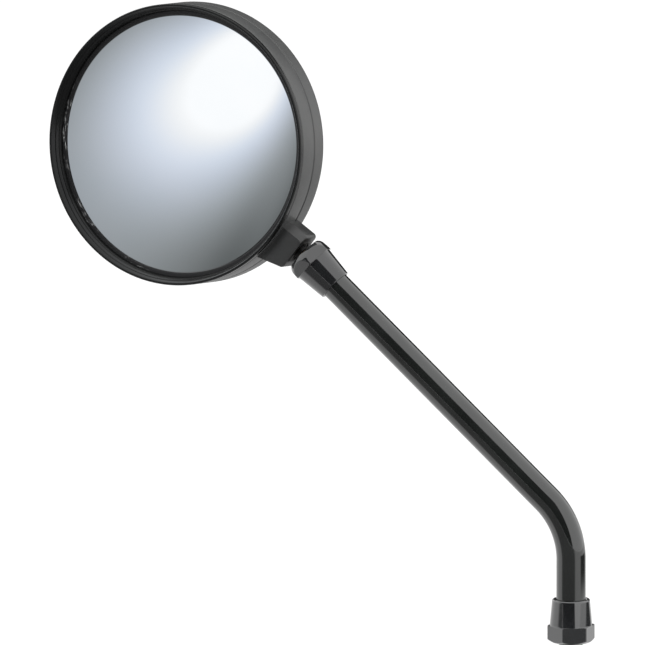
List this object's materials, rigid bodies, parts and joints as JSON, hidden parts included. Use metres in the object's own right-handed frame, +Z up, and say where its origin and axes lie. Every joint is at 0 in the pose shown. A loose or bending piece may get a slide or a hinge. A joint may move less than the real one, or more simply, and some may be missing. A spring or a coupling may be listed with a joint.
{
  "type": "motorcycle mirror",
  "caption": "Round convex rear-view mirror in a black housing, held by a clamped ball joint on a bent tubular stem with a threaded foot and lock nut.",
  "frame": {"origin": "on the stem's foot axis, in the plane where the lock nut seats on the mirror perch", "axes": "+Z up the foot of the stem; the stem bends towards -X in the XZ plane; the mirror faces -Y"},
  "size_m": [0.2371, 0.0441, 0.2741],
  "materials": {
    "stem_paint": "gloss black stoving enamel",
    "nut_paint": "gloss black, crisp edges",
    "zinc": "bright zinc plate on cut thread",
    "spring_steel": "plain ground steel",
    "black_steel": "turned and blackened",
    "clamp_brass": "turned, dull",
    "seat_nylon": "natural nylon",
    "housing": "dark grey satin plastic with a fine grain",
    "rim": "satin black",
    "glass": "silvered convex glass",
    "gasket": "black rubber",
    "foam": "adhesive foam",
    "carrier": "moulded plate with ribs"
  },
  "bodies": {
    "stem": {"stem_tube": "stem_paint", "stem_foot": "zinc", "seat_washer": "spring_steel"},
    "lock_nut": {"lock_nut": "nut_paint"},
    "union_nut": {"union_nut": "nut_paint", "clamp_ring": "clamp_brass"},
    "seat": {"ball_seat": "seat_nylon"},
    "head": {"ball_stud": "black_steel", "neck_insert": "black_steel", "rear_shell": "housing", "front_ring": "housing", "rim_ring": "rim", "mirror_glass": "glass", "glass_gasket": "gasket", "glass_foam": "foam", "glass_carrier": "carrier", "carrier_screw_1": "zinc", "carrier_screw_2": "zinc", "carrier_screw_3": "zinc", "carrier_screw_4": "zinc"}
  },
  "joints": [
    {"name": "lock_nut_turn", "type": "hinge", "parent": "stem", "child": "lock_nut", "pos_m": [0, 0, 0], "axis": [0, 0, 1], "continuous": true},
    {"name": "union_nut_turn", "type": "hinge", "parent": "stem", "child": "union_nut", "pos_m": [-0.1117, 0, 0.15065], "axis": [-0.7373, 0, 0.6756], "continuous": true},
    {"name": "head_swivel", "type": "hinge", "parent": "stem", "child": "seat", "pos_m": [-0.1117, 0, 0.15065], "axis": [-0.7373, 0, 0.6756], "continuous": true},
    {"name": "head_tilt", "type": "hinge", "parent": "seat", "child": "head", "pos_m": [-0.1117, 0, 0.15065], "axis": [0.5948, 0, 0.8039], "range_deg": [-4, 22]}
  ]
}
